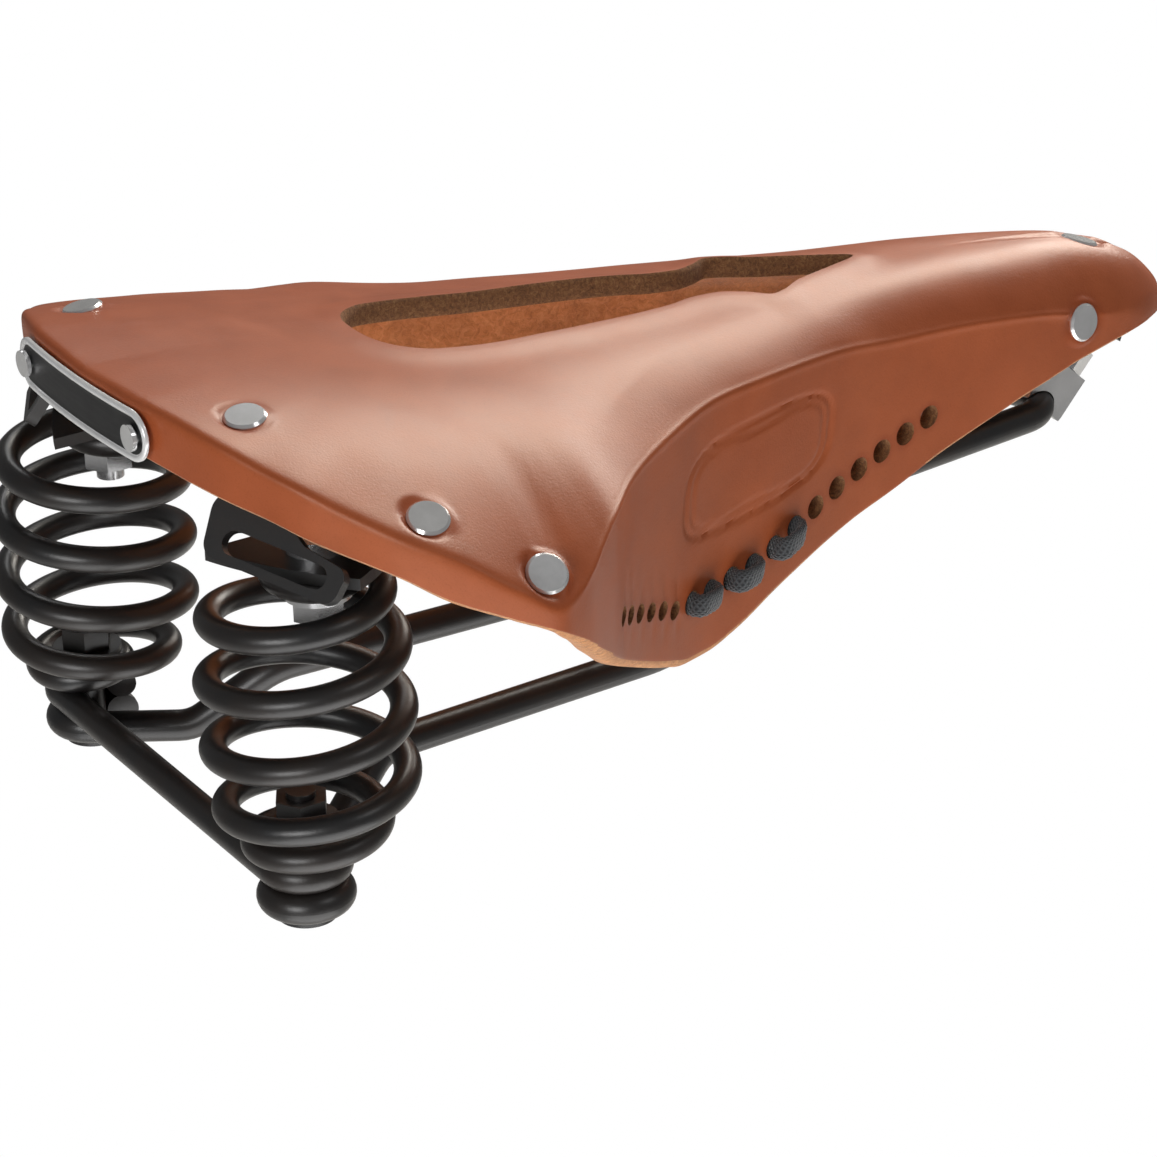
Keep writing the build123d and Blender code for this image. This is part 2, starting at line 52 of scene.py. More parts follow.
# ---------------------------------------------------------------- camera
SENSOR_MM = 36
FOCAL_OVER_WIDTH = 4200 / 1157
cam_data = bpy.data.cameras.new("camera")
cam = bpy.data.objects.new("camera", cam_data)
scene.collection.objects.link(cam)
right = Vector((0.8453, -0.5336, -0.0259)).normalized()
forward = Vector((0.4742, 0.7717, -0.4237)).normalized()
up = right.cross(forward).normalized()
right = forward.cross(up).normalized()
turn = Matrix((right, up, -forward)).transposed().to_4x4()
cam.matrix_world = Matrix.Translation((-0.4166, -0.7171, 0.4065)) @ turn
cam_data.sensor_width = SENSOR_MM
cam_data.sensor_fit = "HORIZONTAL"
cam_data.lens = FOCAL_OVER_WIDTH * SENSOR_MM
cam_data.clip_start = 0.05
cam_data.clip_end = 20
scene.camera = cam


# ---------------------------------------------------------------- curves and tables
def steps(values):
    return np.array(values, float)


def pchip(xs, ys):
    """Smooth table that never overshoots its own values."""
    xs, ys = steps(xs), steps(ys)
    h = np.diff(xs)
    d = np.diff(ys) / h
    m = np.zeros(len(xs))
    for i in range(1, len(xs) - 1):
        if d[i - 1] * d[i] > 0:
            w1, w2 = 2 * h[i] + h[i - 1], h[i] + 2 * h[i - 1]
            m[i] = (w1 + w2) / (w1 / d[i - 1] + w2 / d[i])
    m[0], m[-1] = d[0], d[-1]

    def read(x):
        x = np.clip(np.asarray(x, float), xs[0], xs[-1])
        i = np.clip(np.searchsorted(xs, x, side="right") - 1, 0, len(xs) - 2)
        t = (x - xs[i]) / h[i]
        return ((1 + 2 * t) * (1 - t) ** 2 * ys[i] + t * (1 - t) ** 2 * h[i] * m[i]
                + t * t * (3 - 2 * t) * ys[i + 1] + t * t * (t - 1) * h[i] * m[i + 1])
    return read


def ring_spline(knots, values, period):
    """Periodic cubic spline through values at the knots."""
    n = len(knots)
    h = np.diff(np.append(knots, knots[0] + period))
    a = np.zeros((n, n))
    b = np.zeros((n, values.shape[1]))
    for i in range(n):
        p, q = (i - 1) % n, (i + 1) % n
        a[i, p] += h[p]
        a[i, i] += 2 * (h[p] + h[i])
        a[i, q] += h[i]
        b[i] = 6 * ((values[q] - values[i]) / h[i] - (values[i] - values[p]) / h[p])
    m = np.linalg.solve(a, b)

    def read(t):
        t = np.mod(np.asarray(t, float) - knots[0], period) + knots[0]
        i = np.clip(np.searchsorted(knots, t, side="right") - 1, 0, n - 1)
        j = (i + 1) % n
        u = (t - knots[i])[:, None]
        w = (h[i])[:, None]
        v = w - u
        return (m[i] * v ** 3 + m[j] * u ** 3) / (6 * w) \
            + (values[i] / w - m[i] * w / 6) * v + (values[j] / w - m[j] * w / 6) * u
    return read


def smooth_step(a, b, x):
    s = np.clip((np.asarray(x, float) - a) / (b - a), 0, 1)
    return s * s * (3 - 2 * s)


def noise3(p, scale, seed=0):
    """Smooth repeatable noise from a few crossed sine waves."""
    x, y, z = np.moveaxis(p / scale, -1, 0)
    k = seed * 1.7
    first = np.sin(x * 1.3 + y * 2.1 + k) * np.sin(y * 1.1 - z * 1.9 + 2 * k)
    second = np.sin(z * 2.3 + x * 0.7 - k) * np.sin(x * 2.9 + y * 0.4 + 3 * k)
    return (first + second) / 2


# ---------------------------------------------------------------- meshes
def make_object(name, verts, faces, mats, slots=None):
    mesh = bpy.data.meshes.new(name)
    mesh.from_pydata([tuple(v) for v in verts], [], [tuple(int(i) for i in f) for f in faces])
    for m in mats:
        mesh.materials.append(m)
    if slots is not None:
        mesh.polygons.foreach_set("material_index", np.array(slots, dtype=np.int32))
    mesh.polygons.foreach_set("use_smooth", np.full(len(mesh.polygons), True))
    mesh.update()
    obj = bpy.data.objects.new(name, mesh)
    scene.collection.objects.link(obj)
    return obj


def grid_faces(rows, cols, close_rows=False, close_cols=False):
    faces = []
    for i in range(rows if close_rows else rows - 1):
        for j in range(cols if close_cols else cols - 1):
            a = i * cols + j
            b = i * cols + (j + 1) % cols
            c = ((i + 1) % rows) * cols + (j + 1) % cols
            d = ((i + 1) % rows) * cols + j
            faces.append((a, b, c, d))
    return faces


def frames_along(points):
    """Side and normal vectors that turn as little as possible along a line of points."""
    t = np.gradient(points, axis=0)
    t /= np.linalg.norm(t, axis=1)[:, None]
    ref = np.array([0.0, 0.0, 1.0]) if abs(t[0][2]) < 0.9 else np.array([1.0, 0.0, 0.0])
    n = ref - t[0] * ref.dot(t[0])
    n /= np.linalg.norm(n)
    normals = [n]
    for i in range(1, len(points)):
        n = normals[-1] - t[i] * normals[-1].dot(t[i])
        normals.append(n / np.linalg.norm(n))
    normals = np.array(normals)
    return t, normals, np.cross(t, normals)


def tube(name, points, radius, mats, sides):
    """Round wire along a line of points, with rounded ends."""
    t, n, b = frames_along(points)
    ring = np.linspace(0, 2 * math.pi, sides, endpoint=False)
    end_rings = ((1.0, 0.6), (0.75, 0.85), (0.3, 0.97))
    stations = [(points[0] - t[0] * radius * 0.25 * c, radius * s, 0) for c, s in end_rings]
    stations += [(points[i], radius, i) for i in range(len(points))]
    stations += [(points[-1] + t[-1] * radius * 0.25 * c, radius * s, len(points) - 1)
                 for c, s in reversed(end_rings)]
    rows = [p + r * (np.cos(ring)[:, None] * n[i] + np.sin(ring)[:, None] * b[i])
            for p, r, i in stations]
    verts = np.concatenate(rows)
    faces = grid_faces(len(rows), sides, close_cols=True)
    faces = [f[::-1] for f in faces]
    faces.append(tuple(range(sides)))
    last = (len(rows) - 1) * sides
    faces.append(tuple(last + k for k in reversed(range(sides))))
    return make_object(name, verts * MM, faces, mats)


# ---------------------------------------------------------------- materials
def node_material(name):
    mat = bpy.data.materials.new(name)
    mat.use_nodes = True
    nt = mat.node_tree
    return mat, nt, nt.nodes["Principled BSDF"]


def link(nt, a, b):
    nt.links.new(a, b)


def texture(nt, kind, scale, coords, detail=3.0, rough=0.55, distort=0.0, stretch=None):
    src = coords
    if stretch is not None:
        mapping = nt.nodes.new("ShaderNodeMapping")
        mapping.inputs["Scale"].default_value = stretch
        link(nt, coords, mapping.inputs["Vector"])
        src = mapping.outputs["Vector"]
    node = nt.nodes.new(kind)
    node.inputs["Scale"].default_value = scale
    if kind == "ShaderNodeTexNoise":
        node.inputs["Detail"].default_value = detail
        node.inputs["Roughness"].default_value = rough
        node.inputs["Distortion"].default_value = distort
    link(nt, src, node.inputs["Vector"])
    return node


def ramp(nt, fac, stops):
    node = nt.nodes.new("ShaderNodeValToRGB")
    while len(node.color_ramp.elements) > 1:
        node.color_ramp.elements.remove(node.color_ramp.elements[-1])
    node.color_ramp.elements[0].position = stops[0][0]
    node.color_ramp.elements[0].color = (*stops[0][1], 1)
    for pos, col in stops[1:]:
        e = node.color_ramp.elements.new(pos)
        e.color = (*col, 1)
    link(nt, fac, node.inputs["Fac"])
    return node.outputs["Color"]


def mixed(nt, fac, a, b, mode="MIX"):
    node = nt.nodes.new("ShaderNodeMix")
    node.data_type = "RGBA"
    node.blend_type = mode
    for value, socket in ((fac, node.inputs[0]), (a, node.inputs[6]), (b, node.inputs[7])):
        if isinstance(value, (int, float)):
            socket.default_value = value
        elif isinstance(value, tuple):
            socket.default_value = (*value, 1)
        else:
            link(nt, value, socket)
    return node.outputs[2]


def scaled(nt, value, low, high):
    node = nt.nodes.new("ShaderNodeMapRange")
    node.inputs["To Min"].default_value = low
    node.inputs["To Max"].default_value = high
    link(nt, value, node.inputs["Value"])
    return node.outputs["Result"]


def bumped(nt, heights, bsdf):
    """Chain of bumps: (height, distance in metres, strength)."""
    last = None
    for height, distance, strength in heights:
        node = nt.nodes.new("ShaderNodeBump")
        node.inputs["Distance"].default_value = distance
        node.inputs["Strength"].default_value = strength
        link(nt, height, node.inputs["Height"])
        if last is not None:
            link(nt, last, node.inputs["Normal"])
        last = node.outputs["Normal"]
    link(nt, last, bsdf.inputs["Normal"])


def leather_material():
    mat, nt, bsdf = node_material("leather_grain")
    co = nt.nodes.new("ShaderNodeTexCoord").outputs["Object"]
    cloud = texture(nt, "ShaderNodeTexNoise", 22, co, 4, 0.6, 0.6)
    blotch = texture(nt, "ShaderNodeTexNoise", 75, co, 4, 0.6, 0.3)
    grain = texture(nt, "ShaderNodeTexVoronoi", 1500, co)
    pores = texture(nt, "ShaderNodeTexNoise", 2600, co, 2, 0.6)
    crease = texture(nt, "ShaderNodeTexNoise", 420, co, 5, 0.65, 1.2)
    base = ramp(nt, cloud.outputs["Fac"], [(0.25, (0.345, 0.076, 0.023)), (0.5, (0.375, 0.087, 0.028)),
                                           (0.78, (0.41, 0.102, 0.035))])
    tone = ramp(nt, blotch.outputs["Fac"], [(0.3, (0.90, 0.88, 0.86)), (0.7, (1.05, 1.05, 1.05))])
    col = mixed(nt, 1.0, base, tone, "MULTIPLY")
    speck = ramp(nt, pores.outputs["Fac"], [(0.30, (0.82, 0.78, 0.74)), (0.46, (1, 1, 1))])
    col = mixed(nt, 0.6, col, speck, "MULTIPLY")
    # Painted shade: the colour is darkened in the hollow beside the crease, where shade falls; it is also
    # darker round the rivets and lace holes
    shade = nt.nodes.new("ShaderNodeAttribute")
    shade.attribute_name = "painted_shade_and_rings"
    dark = mixed(nt, 1.0, col, (0.70, 0.52, 0.42), "MULTIPLY")
    col = mixed(nt, shade.outputs["Fac"], col, dark)
    link(nt, col, bsdf.inputs["Base Color"])
    link(nt, scaled(nt, blotch.outputs["Fac"], 0.34, 0.46), bsdf.inputs["Roughness"])
    bsdf.inputs["Specular IOR Level"].default_value = 0.44
    bsdf.inputs["Specular Tint"].default_value = (1.0, 0.84, 0.70, 1)
    bumped(nt, [(grain.outputs["Distance"], 0.00012, 0.12), (crease.outputs["Fac"], 0.00022, 0.10),
                (pores.outputs["Fac"], 0.00010, 0.30)], bsdf)
    return mat


def raw_edge_material():
    mat, nt, bsdf = node_material("leather_cut_edge")
    co = nt.nodes.new("ShaderNodeTexCoord").outputs["Object"]
    fibre = texture(nt, "ShaderNodeTexNoise", 900, co, 6, 0.75, 1.5)
    layer = texture(nt, "ShaderNodeTexNoise", 330, co, 4, 0.6, 0.5, (1, 1, 3.2))
    col = ramp(nt, fibre.outputs["Fac"], [(0.25, (0.20, 0.062, 0.018)), (0.47, (0.62, 0.260, 0.085)),
                                          (0.75, (0.88, 0.50, 0.22))])
    tone = ramp(nt, layer.outputs["Fac"], [(0.3, (0.72, 0.66, 0.60)), (0.7, (1.08, 1.05, 1.0))])
    link(nt, mixed(nt, 1.0, col, tone, "MULTIPLY"), bsdf.inputs["Base Color"])
    bsdf.inputs["Roughness"].default_value = 0.92
    bsdf.inputs["Sheen Weight"].default_value = 0.25
    bumped(nt, [(layer.outputs["Fac"], 0.0006, 0.5), (fibre.outputs["Fac"], 0.0005, 0.8)], bsdf)
    return mat


def burnished_edge_material():
    mat, nt, bsdf = node_material("leather_burnished_edge")
    co = nt.nodes.new("ShaderNodeTexCoord").outputs["Object"]
    fibre = texture(nt, "ShaderNodeTexNoise", 1300, co, 5, 0.75, 0.8)
    col = ramp(nt, fibre.outputs["Fac"], [(0.30, (0.090, 0.036, 0.014)), (0.52, (0.270, 0.115, 0.042)),
                                          (0.66, (0.42, 0.200, 0.080)), (0.80, (0.64, 0.36, 0.16))])
    link(nt, col, bsdf.inputs["Base Color"])
    bsdf.inputs["Roughness"].default_value = 0.85
    bumped(nt, [(fibre.outputs["Fac"], 0.0006, 0.9)], bsdf)
    return mat


def suede_material():
    mat, nt, bsdf = node_material("leather_suede")
    co = nt.nodes.new("ShaderNodeTexCoord").outputs["Object"]
    nap = texture(nt, "ShaderNodeTexNoise", 700, co, 6, 0.7, 1.0)
    cloud = texture(nt, "ShaderNodeTexNoise", 60, co, 4, 0.6, 0.8)
    col = ramp(nt, nap.outputs["Fac"], [(0.25, (0.36, 0.110, 0.030)), (0.5, (0.60, 0.215, 0.070)),
                                        (0.75, (0.78, 0.340, 0.130))])
    tone = ramp(nt, cloud.outputs["Fac"], [(0.3, (0.80, 0.76, 0.72)), (0.7, (1.08, 1.05, 1.02))])
    link(nt, mixed(nt, 1.0, col, tone, "MULTIPLY"), bsdf.inputs["Base Color"])
    bsdf.inputs["Roughness"].default_value = 0.95
    bsdf.inputs["Sheen Weight"].default_value = 0.35
    bumped(nt, [(cloud.outputs["Fac"], 0.0008, 0.35), (nap.outputs["Fac"], 0.0004, 0.8)], bsdf)
    return mat


def enamel_material(name, base=0.012, rough=(0.30, 0.46), warm=(0.020, 0.014, 0.011)):
    """Black enamel with faint orange peel and a slightly browner worn tone in patches."""
    mat, nt, bsdf = node_material(name)
    co = nt.nodes.new("ShaderNodeTexCoord").outputs["Object"]
    cloud = texture(nt, "ShaderNodeTexNoise", 45, co, 4, 0.6, 0.5)
    peel = texture(nt, "ShaderNodeTexNoise", 900, co, 3, 0.5)
    dust = texture(nt, "ShaderNodeTexNoise", 3200, co, 2, 0.6)
    col = ramp(nt, cloud.outputs["Fac"], [(0.35, (base, base, base * 1.05)), (0.75, warm)])
    fleck = ramp(nt, dust.outputs["Fac"], [(0.62, (1, 1, 1)), (0.80, (1.9, 1.8, 1.7))])
    link(nt, mixed(nt, 1.0, col, fleck, "MULTIPLY"), bsdf.inputs["Base Color"])
    link(nt, scaled(nt, cloud.outputs["Fac"], rough[0], rough[1]), bsdf.inputs["Roughness"])
    bsdf.inputs["Specular IOR Level"].default_value = 0.5
    bsdf.inputs["Coat Weight"].default_value = 0.25
    bsdf.inputs["Coat Roughness"].default_value = 0.30
    bumped(nt, [(peel.outputs["Fac"], 0.00008, 0.35), (dust.outputs["Fac"], 0.00003, 0.5)], bsdf)
    return mat


def nickel_material(name, tint=(0.80, 0.80, 0.81), rough=(0.12, 0.24), brushed=(1, 1, 1), metal=1.0):
    mat, nt, bsdf = node_material(name)
    co = nt.nodes.new("ShaderNodeTexCoord").outputs["Object"]
    cloud = texture(nt, "ShaderNodeTexNoise", 180, co, 4, 0.6)
    brush = texture(nt, "ShaderNodeTexNoise", 1400, co, 3, 0.6, 0.0, brushed)
    dark = tuple(0.86 * c for c in tint)
    col = ramp(nt, cloud.outputs["Fac"], [(0.3, dark), (0.7, tint)])
    link(nt, col, bsdf.inputs["Base Color"])
    bsdf.inputs["Metallic"].default_value = metal
    link(nt, scaled(nt, brush.outputs["Fac"], rough[0], rough[1]), bsdf.inputs["Roughness"])
    bumped(nt, [(brush.outputs["Fac"], 0.00003, 0.35)], bsdf)
    return mat


def lace_material():
    mat, nt, bsdf = node_material("lace_weave")
    uv = nt.nodes.new("ShaderNodeUVMap").outputs["UV"]
    co = nt.nodes.new("ShaderNodeTexCoord").outputs["Object"]
    warp = nt.nodes.new("ShaderNodeTexWave")
    warp.bands_direction = "DIAGONAL"
    warp.inputs["Scale"].default_value = 3.4
    warp.inputs["Distortion"].default_value = 0.4
    link(nt, uv, warp.inputs["Vector"])
    flip = nt.nodes.new("ShaderNodeMapping")
    flip.inputs["Scale"].default_value = (1, -1, 1)
    link(nt, uv, flip.inputs["Vector"])
    weft = nt.nodes.new("ShaderNodeTexWave")
    weft.bands_direction = "DIAGONAL"
    weft.inputs["Scale"].default_value = 3.4
    weft.inputs["Distortion"].default_value = 0.4
    link(nt, flip.outputs["Vector"], weft.inputs["Vector"])
    fuzz = texture(nt, "ShaderNodeTexNoise", 2500, co, 4, 0.7)
    weave = mixed(nt, 1.0, warp.outputs["Color"], weft.outputs["Color"], "LIGHTEN")
    col = ramp(nt, weave, [(0.1, (0.012, 0.013, 0.015)), (0.6, (0.030, 0.033, 0.037)),
                           (1.0, (0.058, 0.063, 0.068))])
    tone = ramp(nt, fuzz.outputs["Fac"], [(0.3, (0.7, 0.7, 0.7)), (0.7, (1.3, 1.3, 1.3))])
    link(nt, mixed(nt, 1.0, col, tone, "MULTIPLY"), bsdf.inputs["Base Color"])
    bsdf.inputs["Roughness"].default_value = 0.85
    bsdf.inputs["Sheen Weight"].default_value = 0.4
    bumped(nt, [(weave, 0.00025, 0.8), (fuzz.outputs["Fac"], 0.00015, 0.6)], bsdf)
    return mat


LEATHER = leather_material()
CUT = raw_edge_material()
BURNISHED = burnished_edge_material()
SUEDE = suede_material()
WIRE = enamel_material("black_enamel_wire")
PLATE = enamel_material("black_powder_plate", 0.016, (0.42, 0.58), (0.022, 0.018, 0.016))
NICKEL = nickel_material("bright_nickel", (0.88, 0.88, 0.88), (0.14, 0.22), metal=0.72)
BOLT = nickel_material("nickel_hardware", (0.74, 0.74, 0.75), (0.22, 0.28), metal=0.9)
RIM = nickel_material("badge_rim", (0.92, 0.92, 0.92), (0.18, 0.28), metal=0.35)
BADGE = nickel_material("badge_field", (0.09, 0.09, 0.092), (0.38, 0.52), (1, 0.06, 1))
LACE = lace_material()


# ---------------------------------------------------------------- leather shape tables (mm)
# Crease of the seat in plan, left half from the middle of the rear to the nose tip, with its height
crease = steps([
    (-92, 0, 91), (-91.6, 12, 91.5), (-90.6, 24, 91.6), (-88.9, 31, 90.9), (-83.8, 45.4, 87.5),
    (-80, 52, 84.7), (-74.5, 60.6, 81.3), (-69, 66.5, 77.8), (-63, 73, 74.4), (-52.4, 80.7, 68.7),
    (-42, 86, 61.0), (-33, 87.4, 55.5), (-28, 85, 56.1), (-23, 82, 58.7), (-18, 78, 61.6),
    (-12, 73, 64.2), (-4, 65, 65.1), (5, 57.5, 65.8), (17, 50, 66.7), (33, 42, 67.6), (50, 37, 67),
    (73, 30, 65), (92, 25.8, 62), (113, 23, 59.7), (137, 20.7, 55.9), (156, 18, 50.6),
    (166, 15.6, 48.6), (174, 12.2, 46.9), (180, 8.2, 45.6), (184.3, 4.2, 44.6), (186, 0, 44)])
opening = steps([
    (-92, 0, -29, 0), (-90.6, 24, -28.6, 5), (-83.8, 45.4, -27, 9.4), (-69, 66.5, -23.5, 13.2),
    (-52.4, 80.7, -18, 15.6), (-33, 87.4, -9, 16.2), (-18, 78, -1, 15.8), (-4, 65, 6, 15),
    (17, 50, 20, 13.9), (33, 42, 34, 12.4), (42, 39.3, 43, 10.7), (50, 37, 50, 8.6),
    (56, 35.2, 56, 8.2), (62, 33.4, 62, 10.2), (67, 31.9, 67.5, 13.4), (71, 30.6, 71, 12.4),
    (78, 28.8, 77, 8.9), (85, 27.2, 84.5, 6), (95, 25.3, 91, 3.6), (113, 23, 95.5, 1.9),
    (137, 20.7, 97.6, 0.9), (186, 0, 98.5, 0)])
lower = steps([
    (-92, 77.4), (-91.2, 78.6), (-87, 76.5), (-80.5, 73.4), (-69.6, 67.6), (-62, 64), (-53.7, 58.6),
    (-46, 55), (-35, 50), (-24.6, 43.1), (-12.8, 33.1), (6.1, 18.6), (19.5, 11.2), (26.7, 8.2),
    (34.2, 7.5), (40.8, 8.8), (54.1, 13.6), (67.7, 17.8), (80.9, 21.5), (93.8, 24.7), (106.1, 28.8),
    (123.8, 33.8), (133.5, 36.5), (141.2, 38.3), (152.4, 40.6), (167.4, 41.8), (175.6, 41.6),
    (186, 39.5)])
middle_height = pchip([-92, -74, -60, -29, 0, 40, 70, 98, 120, 145, 163, 175, 186],
                      [91, 90.5, 89, 83.5, 79.8, 76.3, 73.8, 71.6, 69.5, 66, 61.8, 56.5, 47])
dome_power = pchip([-33, 5, 25, 60, 130, 186], [2.9, 2.9, 3.2, 3.4, 3.0, 2.4])

# Closed outline with equal chord steps; the right half mirrors the left
crease_ring = np.concatenate([crease, crease[-2:0:-1] * (1, -1, 1)])
hops = np.linalg.norm(np.diff(np.concatenate([crease_ring, crease_ring[:1]])[:, :2], axis=0), axis=1)
ring_knots = np.concatenate([[0], np.cumsum(hops)[:-1]])
ring_length = float(hops.sum())
half_length = float(ring_knots[len(crease) - 1])
crease_at = ring_spline(ring_knots, crease_ring[:, :2], ring_length)
crease_z = pchip(ring_knots[:len(crease)], crease[:, 2])
fine_s = np.linspace(0, half_length, 6000)
fine_xy = crease_at(fine_s)


def along_crease(x, y):
    """Distance along the left crease of the point nearest to x, y."""
    return float(fine_s[np.argmin((fine_xy[:, 0] - x) ** 2 + (fine_xy[:, 1] - y) ** 2)])


order_x = np.maximum.accumulate(fine_xy[:, 0])


def crease_by_x(x):
    return float(np.interp(x, order_x + np.arange(len(order_x)) * 1e-9, fine_s))


opening_s = [along_crease(a, b) for a, b, _, _ in opening]
opening_x = pchip(opening_s, opening[:, 2])
opening_y = pchip(opening_s, opening[:, 3])
lower_s = [crease_by_x(x) for x in lower[:, 0]]
lower_s[0] = 0.0
lower_s[1] = 20.5
lower_z = pchip(lower_s, lower[:, 1])
width_at = pchip(order_x[::40] + np.arange(150) * 1e-6, fine_xy[::40, 1])
side_z = pchip(*zip(*[(x, z) for x, _, z in crease[11:]]))


def dome(x, y):
    """Height of the smooth top, without hollows."""
    zc = middle_height(x)
    rear = zc - 28.5 * (np.abs(y) / 87.5) ** 2.9
    w = np.maximum(width_at(x), 0.5)
    n = dome_power(x)
    front = zc - (zc - side_z(x)) * np.clip(np.abs(y) / w, 0, 1.05) ** n
    return np.where(x < -33, rear, front)


# Rivet seats on the left: place and outward direction
seats = [((-73.8, 36.1, 88.4), (-0.12, 0.16, 1.0)), ((-52.7, 70.0, 73.4), (-0.1, 0.5, 1.0)),
         ((-33.6, 82.3, 61.0), (-0.15, 0.95, 0.95)), ((150.0, 18.7, 50.2), (0.16, 1.0, 0.12)),
         ((163.0, 0.0, 61.8), (0.34, 0.0, 1.0))]


def side_point(x):
    """Outline of the skirt at x with its outward direction."""
    y = float(width_at(x))
    slope = float(width_at(x + 2) - width_at(x - 2)) / 4
    out = np.array([-slope, 1.0, 0.0])
    return np.array([x, y, 0.0]), out / np.linalg.norm(out)


# Lace holes of a skirt from front to rear; the last ones are smaller and closer together
HOLE_COUNT, FIRST_REAR_HOLE = 18, 12
FIRST_HOLE_X = 102.6
HOLE_PITCH, REAR_HOLE_PITCH = 7.2, 5.6
HOLE_RADIUS, REAR_HOLE_RADIUS = 2.75, 2.15
REAR_HOLE_Z = (24.7, 27.1, 29.3, 31.6, 33.9, 36.4)


def lace_holes():
    """Centre and outward direction of each hole in the left skirt."""
    holes = []
    x = FIRST_HOLE_X
    for k in range(HOLE_COUNT):
        base, out = side_point(x)
        if k < 8:
            z = 40.2 - 1.95 * k - 0.02 * k * k
        elif k < FIRST_REAR_HOLE:
            z = 23.8 - 0.75 * (k - 8) + 0.2 * (k - 8) ** 2
        else:
            z = REAR_HOLE_Z[k - FIRST_REAR_HOLE]
        holes.append((np.array([base[0], base[1], z]), out))
        x -= (HOLE_PITCH if k < FIRST_REAR_HOLE else REAR_HOLE_PITCH) * out[1]
    return holes


def hole_radius(k):
    return HOLE_RADIUS if k < FIRST_REAR_HOLE else REAR_HOLE_RADIUS


holes = lace_holes()

# ---------------------------------------------------------------- leather mesh
thickness = 4.5
n_around = 900
s_all = np.arange(n_around) * (ring_length / n_around)
s_fold = np.minimum(s_all, ring_length - s_all)
sign = np.where(s_all <= half_length, 1.0, -1.0)
edge_xy = crease_at(s_all)
step = 0.6
ahead, behind = crease_at(s_all + step), crease_at(s_all - step)
tangent = (ahead - behind) / np.linalg.norm(ahead - behind, axis=1)[:, None]
outward = np.stack([tangent[:, 1], -tangent[:, 0]], axis=1)
if outward[0, 0] > 0:
    outward = -outward
top_steps = np.concatenate([np.linspace(0, 0.80, 40, endpoint=False), np.linspace(0.80, 1, 26)])
wall_steps = np.concatenate([np.linspace(0, 0.14, 11)[1:], np.linspace(0.14, 1, 58)[1:]])
n_top, n_wall = len(top_steps), len(wall_steps)
n_out = n_top + n_wall
hollow_depth = pchip([-60, -30, -14, 0, 14, 40, 75, 186], [0, 0, 0.1, 0.25, 0.3, 0.2, 0, 0])
outer = np.zeros((n_around, n_out, 3))
soft = np.zeros((n_around, n_out, 3))
near_crease = np.zeros((n_around, n_out))
from_edge = np.zeros((n_around, n_out))
for i in range(n_around):
    s = s_fold[i]
    edge = edge_xy[i]
    hole = np.array([float(opening_x(s)), sign[i] * float(opening_y(s))])
    z_edge, z_low = float(crease_z(s)), float(lower_z(s))
    dense_t = np.linspace(0, 1, 120)
    plan = hole + (edge - hole) * dense_t[:, None]
    z = dome(plan[:, 0], plan[:, 1])
    z = z + (z_edge - z[-1]) * dense_t ** 4
    span = np.linalg.norm(edge - hole)
    reach = (1 - dense_t) * span
    e = np.clip(reach / 15, 0, 1)
    z = z - float(hollow_depth(edge[0])) * 4 * e * (1 - e) * np.where(reach < 15, 1, 0)
    z = z + 1.0 * np.exp(-(dense_t * span / 5.0) ** 2)
    top_line = np.column_stack([plan, z])
    wall_t = np.linspace(0, 1, 90)[1:]
    tall = z_edge - z_low
    lean = 0.045 * tall * wall_t ** 1.3
    wall_line = np.column_stack([edge - outward[i] * lean[:, None], z_edge - tall * wall_t])
    line = np.concatenate([top_line, wall_line])
    head = line[0] - (line[1] - line[0]) * np.arange(30, 0, -1)[:, None]
    tail = line[-1] + (line[-1] - line[-2]) * np.arange(1, 31)[:, None]
    full = np.concatenate([head, line, tail])
    arc = np.concatenate([[0], np.cumsum(np.linalg.norm(np.diff(full, axis=0), axis=1))])
    zero = arc[30]
    crease_arc = arc[30 + 119] - zero
    end_arc = arc[-31] - zero
    arc = arc - zero
    even = np.arange(arc[0], arc[-1], 0.5)
    even_pts = np.column_stack([np.interp(even, arc, full[:, k]) for k in range(3)])
    at = np.concatenate([top_steps * crease_arc, crease_arc + wall_steps * (end_arc - crease_arc)])
    rear_part = 1 - float(smooth_step(-45, -22, edge[0]))
    nose_part = float(smooth_step(150, 176, edge[0]))
    sigma = 0.6 + 1.0 * rear_part + 0.9 * nose_part
    for blur, store in ((sigma, outer), (sigma + 2.4, soft)):
        w = np.exp(-((at[:, None] - even[None, :]) ** 2) / (2 * blur ** 2))
        w /= w.sum(axis=1)[:, None]
        store[i] = w @ even_pts
    near_crease[i] = at - crease_arc
    from_edge[i] = end_arc - at


def grid_normals(p):
    du = np.roll(p, -1, axis=0) - np.roll(p, 1, axis=0)
    dv = np.gradient(p, axis=1)
    n = np.cross(du, dv)
    n /= np.maximum(np.linalg.norm(n, axis=2), 1e-9)[..., None]
    if n[n_around // 8, 5, 2] < 0:
        n = -n
    return n


